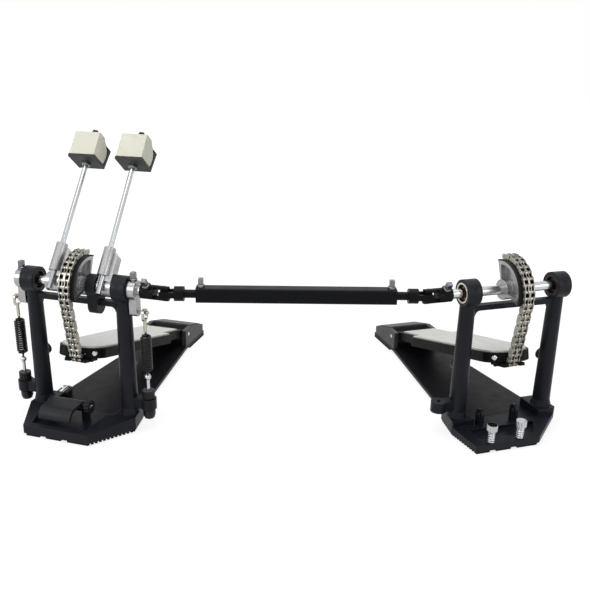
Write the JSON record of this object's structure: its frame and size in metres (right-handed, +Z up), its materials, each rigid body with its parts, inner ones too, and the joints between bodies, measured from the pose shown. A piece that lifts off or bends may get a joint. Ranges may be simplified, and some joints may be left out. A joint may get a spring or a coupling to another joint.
{
  "type": "double bass drum pedal",
  "caption": "Double bass drum pedal: a chain-drive pedal and a slave pedal on cast frames, joined by a telescopic drive shaft, with twin beaters.",
  "frame": {"origin": "on the floor under the middle of the primary pedal's axle", "axes": "+X along the drive shaft towards the slave pedal, +Y towards the player's heels, +Z up"},
  "size_m": [0.7273, 0.405, 0.3684],
  "materials": {
    "board_paint": "satin black",
    "brass": "worn plating",
    "bronze": "sintered",
    "chain_steel": "nickel plated",
    "chrome": "polished",
    "die_cast": "bead blasted",
    "felt_head": "off-white",
    "frame_paint": "satin powder coat",
    "gun_metal": "black oxide",
    "heel_paint": "satin dark grey",
    "plate_paint": "satin black",
    "rubber": "matt",
    "shell_plastic": "matt",
    "spring_black": "black oxide",
    "steel": "machined",
    "support_plastic": "matt",
    "tread": "satin pale"
  },
  "bodies": {
    "main_frame": {"main_frame": "frame_paint", "main_base_plate": "plate_paint", "main_rubber_feet": "rubber", "main_heel_block": "heel_paint", "main_hinge_pin": "chrome", "main_bearings": "bronze", "centre_support": "support_plastic", "main_tension_rod": "spring_black", "slave_tension_rod": "spring_black"},
    "main_shaft": {"main_axle": "steel", "main_cam": "die_cast", "main_chain_wrap": "chain_steel", "main_beater_hub": "die_cast", "main_rocker": "die_cast"},
    "main_beater": {"main_beater_rod": "chrome", "main_beater_head": "felt_head", "main_beater_shell": "shell_plastic"},
    "slave_frame": {"slave_frame": "frame_paint", "slave_base_plate": "plate_paint", "slave_rubber_feet": "rubber", "slave_heel_block": "heel_paint", "slave_hinge_pin": "chrome", "slave_bearings": "bronze", "spur_bolts": "chrome"},
    "slave_shaft": {"slave_axle": "steel", "slave_cam": "die_cast", "slave_chain_wrap": "chain_steel", "right_yoke": "gun_metal"},
    "slave_beater_shaft": {"slave_beater_axle": "steel", "slave_beater_hub": "die_cast", "slave_rocker": "die_cast", "left_yoke": "gun_metal"},
    "slave_beater": {"slave_beater_rod": "chrome", "slave_beater_head": "felt_head", "slave_beater_shell": "shell_plastic"},
    "drive_shaft": {"drive_tube": "gun_metal", "left_shaft_rod": "gun_metal"},
    "right_rod": {"right_shaft_rod": "gun_metal"},
    "left_cross": {"left_cross": "gun_metal"},
    "right_cross": {"right_cross": "gun_metal"},
    "hoop_clamp_jaw": {"hoop_clamp_jaw": "support_plastic"},
    "hoop_clamp_knob": {"hoop_clamp_knob": "support_plastic"},
    "main_footboard": {"main_footboard": "board_paint", "main_tread_plate": "tread", "main_toe_bracket": "board_paint", "main_chain_toe": "chain_steel"},
    "main_chain_upper": {"main_chain_upper": "chain_steel"},
    "main_chain_lower": {"main_chain_lower": "chain_steel"},
    "main_chain_drop": {"main_chain_drop": "chain_steel"},
    "main_spring": {"main_spring": "spring_black"},
    "main_spring_link": {"main_spring_link": "brass"},
    "slave_footboard": {"slave_footboard": "board_paint", "slave_tread_plate": "tread", "slave_toe_bracket": "board_paint", "slave_chain_toe": "chain_steel"},
    "slave_chain_upper": {"slave_chain_upper": "chain_steel"},
    "slave_chain_lower": {"slave_chain_lower": "chain_steel"},
    "slave_chain_drop": {"slave_chain_drop": "chain_steel"},
    "slave_spring": {"slave_spring": "spring_black"},
    "slave_spring_link": {"slave_spring_link": "brass"}
  },
  "joints": [
    {"name": "main_press", "type": "hinge", "parent": "main_frame", "child": "main_shaft", "pos_m": [0, 0, 0.19], "axis": [0.9588, -0.284, 0], "range_deg": [0, 43.72], "stiffness_Nm_per_rad": 4, "springref_deg": -8.59},
    {"name": "main_footboard_hinge", "type": "hinge", "parent": "main_frame", "child": "main_footboard", "pos_m": [0.07328, 0.24738, 0.027], "axis": [0.9588, -0.284, 0], "range_deg": [0, 6.47]},
    {"name": "main_chain_upper_pivot", "type": "hinge", "parent": "main_shaft", "child": "main_chain_upper", "pos_m": [-0.00984, -0.03322, 0.21374], "axis": [0.9588, -0.284, 0], "range_deg": [-17.14, 0]},
    {"name": "main_chain_lower_pivot", "type": "hinge", "parent": "main_chain_upper", "child": "main_chain_lower", "pos_m": [-0.01164, -0.03931, 0.19913], "axis": [0.9588, -0.284, 0], "range_deg": [-21.87, 0]},
    {"name": "main_chain_drop_pivot", "type": "hinge", "parent": "main_chain_lower", "child": "main_chain_drop", "pos_m": [-0.01177, -0.03974, 0.18321], "axis": [0.9588, -0.284, 0], "range_deg": [-10.94, 0]},
    {"name": "main_spring_swing", "type": "hinge", "parent": "main_frame", "child": "main_spring", "pos_m": [-0.08821, 0.02613, 0.074], "axis": [0.9588, -0.284, 0], "range_deg": [-11.43, 0]},
    {"name": "main_spring_stretch", "type": "slide", "parent": "main_spring", "child": "main_spring_link", "axis": [0, 0, 1], "range_m": [0, 0.0097], "deforming": ["main_spring"]},
    {"name": "main_beater_height", "type": "slide", "parent": "main_shaft", "child": "main_beater", "axis": [0.1749, 0.5903, 0.788], "range_m": [-0.02, 0.015]},
    {"name": "drive_shaft_length", "type": "slide", "parent": "main_frame", "child": "slave_frame", "axis": [1, 0, 0], "range_m": [-0.012, 0.06]},
    {"name": "slave_press", "type": "hinge", "parent": "slave_frame", "child": "slave_shaft", "pos_m": [0.552, 0, 0.19], "axis": [0.9588, 0.284, 0], "range_deg": [0, 43.72], "stiffness_Nm_per_rad": 4, "springref_deg": -8.59},
    {"name": "slave_footboard_hinge", "type": "hinge", "parent": "slave_frame", "child": "slave_footboard", "pos_m": [0.47872, 0.24738, 0.027], "axis": [0.9588, 0.284, 0], "range_deg": [0, 6.47]},
    {"name": "slave_chain_upper_pivot", "type": "hinge", "parent": "slave_shaft", "child": "slave_chain_upper", "pos_m": [0.56184, -0.03322, 0.21374], "axis": [0.9588, 0.284, 0], "range_deg": [-17.14, 0]},
    {"name": "slave_chain_lower_pivot", "type": "hinge", "parent": "slave_chain_upper", "child": "slave_chain_lower", "pos_m": [0.56364, -0.03931, 0.19913], "axis": [0.9588, 0.284, 0], "range_deg": [-21.87, 0]},
    {"name": "slave_chain_drop_pivot", "type": "hinge", "parent": "slave_chain_lower", "child": "slave_chain_drop", "pos_m": [0.56377, -0.03974, 0.18321], "axis": [0.9588, 0.284, 0], "range_deg": [-10.94, 0]},
    {"name": "slave_beater_turn", "type": "hinge", "parent": "main_frame", "child": "slave_beater_shaft", "pos_m": [0, 0, 0.19], "axis": [0.9588, -0.284, 0], "range_deg": [0, 43.74]},
    {"name": "slave_beater_height", "type": "slide", "parent": "slave_beater_shaft", "child": "slave_beater", "axis": [0.1749, 0.5903, 0.788], "range_m": [-0.02, 0.015]},
    {"name": "slave_spring_swing", "type": "hinge", "parent": "main_frame", "child": "slave_spring", "pos_m": [0.08821, -0.02613, 0.074], "axis": [0.9588, -0.284, 0], "range_deg": [-11.43, 0]},
    {"name": "slave_spring_stretch", "type": "slide", "parent": "slave_spring", "child": "slave_spring_link", "axis": [0, 0, 1], "range_m": [0, 0.0097], "deforming": ["slave_spring"]},
    {"name": "drive_shaft_turn", "type": "hinge", "parent": "main_frame", "child": "drive_shaft", "pos_m": [0.11506, -0.03408, 0.19], "axis": [1, 0, 0], "range_deg": [0, 43.74]},
    {"name": "right_rod_turn", "type": "hinge", "parent": "slave_frame", "child": "right_rod", "pos_m": [0.43694, -0.03408, 0.19], "axis": [1, 0, 0], "range_deg": [0, 43.74]},
    {"name": "left_cross_pivot", "type": "hinge", "parent": "slave_beater_shaft", "child": "left_cross", "pos_m": [0.11506, -0.03408, 0.19], "axis": [0, 0, 1], "range_deg": [-4.65, 0]},
    {"name": "right_cross_pivot", "type": "hinge", "parent": "slave_shaft", "child": "right_cross", "pos_m": [0.43694, -0.03408, 0.19], "axis": [0, 0, 1], "range_deg": [0, 4.65]},
    {"name": "hoop_clamp_swing", "type": "hinge", "parent": "main_frame", "child": "hoop_clamp_jaw", "pos_m": [-0.0054, -0.01822, 0.028], "axis": [0.9588, -0.284, 0], "range_deg": [-25, 4]},
    {"name": "hoop_clamp_turn", "type": "hinge", "parent": "main_frame", "child": "hoop_clamp_knob", "pos_m": [-0.0054, -0.01822, 0.028], "axis": [0.9588, -0.284, 0], "continuous": true}
  ],
  "couplings": [
    {"joint": "main_footboard_hinge", "follows": "main_press", "ratio": 0.14783},
    {"joint": "main_chain_upper_pivot", "follows": "main_press", "ratio": -0.39177},
    {"joint": "main_chain_lower_pivot", "follows": "main_press", "ratio": -0.5},
    {"joint": "main_chain_drop_pivot", "follows": "main_press", "ratio": -0.25},
    {"joint": "main_spring_swing", "follows": "main_press", "ratio": -0.26131},
    {"joint": "main_spring_stretch", "follows": "main_press", "m_per_rad": 0.012711},
    {"joint": "slave_footboard_hinge", "follows": "slave_press", "ratio": 0.14783},
    {"joint": "slave_chain_upper_pivot", "follows": "slave_press", "ratio": -0.39177},
    {"joint": "slave_chain_lower_pivot", "follows": "slave_press", "ratio": -0.5},
    {"joint": "slave_chain_drop_pivot", "follows": "slave_press", "ratio": -0.25},
    {"joint": "slave_beater_turn", "follows": "slave_press", "ratio": 1},
    {"joint": "slave_spring_swing", "follows": "slave_press", "ratio": -0.26131},
    {"joint": "slave_spring_stretch", "follows": "slave_press", "m_per_rad": 0.012711},
    {"joint": "drive_shaft_turn", "follows": "slave_press", "ratio": 1},
    {"joint": "right_rod_turn", "follows": "slave_press", "ratio": 1},
    {"joint": "left_cross_pivot", "follows": "slave_press", "ratio": -0.10636},
    {"joint": "right_cross_pivot", "follows": "slave_press", "ratio": 0.10636}
  ]
}
